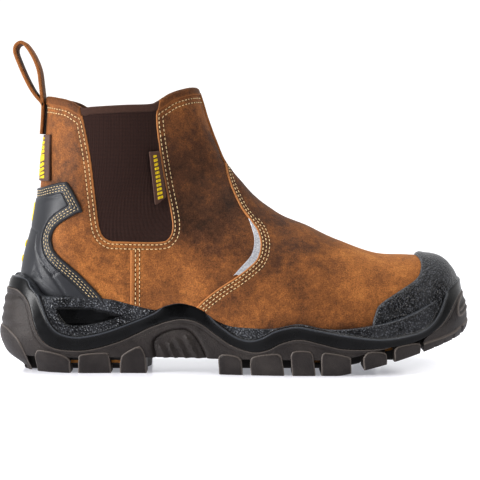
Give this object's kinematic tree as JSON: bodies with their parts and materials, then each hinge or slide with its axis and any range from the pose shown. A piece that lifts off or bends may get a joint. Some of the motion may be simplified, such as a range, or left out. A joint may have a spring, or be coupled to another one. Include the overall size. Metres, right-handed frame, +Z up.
{
  "type": "side gore work boot",
  "caption": "Ankle-high slip-on work boot with elastic side gores, a hollow leather shell, rubber toe cap and heel counter, a pull loop and a deep lugged sole.",
  "frame": {"origin": "on the ground plane under the middle of the boot's bounding box", "axes": "+X to the toe, +Z up, -Y the outer side of the right foot"},
  "size_m": [0.32, 0.112, 0.2211],
  "materials": {
    "leather": "oiled brown nubuck with a soft nap",
    "elastic": "ribbed dark brown elastic",
    "cap_rubber": "black rubber, smooth on the band and grained on cap and panels",
    "counter_shell": "smooth moulded black rubber",
    "tread_rubber": "matt grey-brown rubber with a fine texture",
    "insole_cloth": "dark brushed cloth over foam",
    "strap_leather": "tan leather, dark on the inside",
    "yellow_weave": "woven, plain yellow with a brown border",
    "brown_weave": "woven, brown border with a plain yellow middle",
    "silver_strip": "silver reflective tape",
    "yellow_plastic": "satin yellow",
    "amber_rubber": "amber rubber"
  },
  "bodies": {
    "root": {"upper": "leather", "gore_outer": "elastic", "gore_inner": "elastic", "toe_cap": "cap_rubber", "heel_counter": "counter_shell", "midsole": "cap_rubber", "outsole": "tread_rubber", "insole": "insole_cloth", "pull_loop": "strap_leather", "rear_tag": "yellow_weave", "side_tag": "brown_weave", "strip_outer": "silver_strip", "strip_inner": "silver_strip", "heel_badge": "yellow_plastic", "heel_stud_1": "yellow_plastic", "heel_stud_2": "yellow_plastic", "tread_pod_1_outer": "amber_rubber", "tread_pod_1_inner": "amber_rubber", "tread_pod_2_outer": "amber_rubber", "tread_pod_2_inner": "amber_rubber", "tread_pod_6_outer": "amber_rubber", "tread_pod_6_inner": "amber_rubber", "tread_pod_8_outer": "amber_rubber", "tread_pod_8_inner": "amber_rubber"}
  },
  "joints": []
}
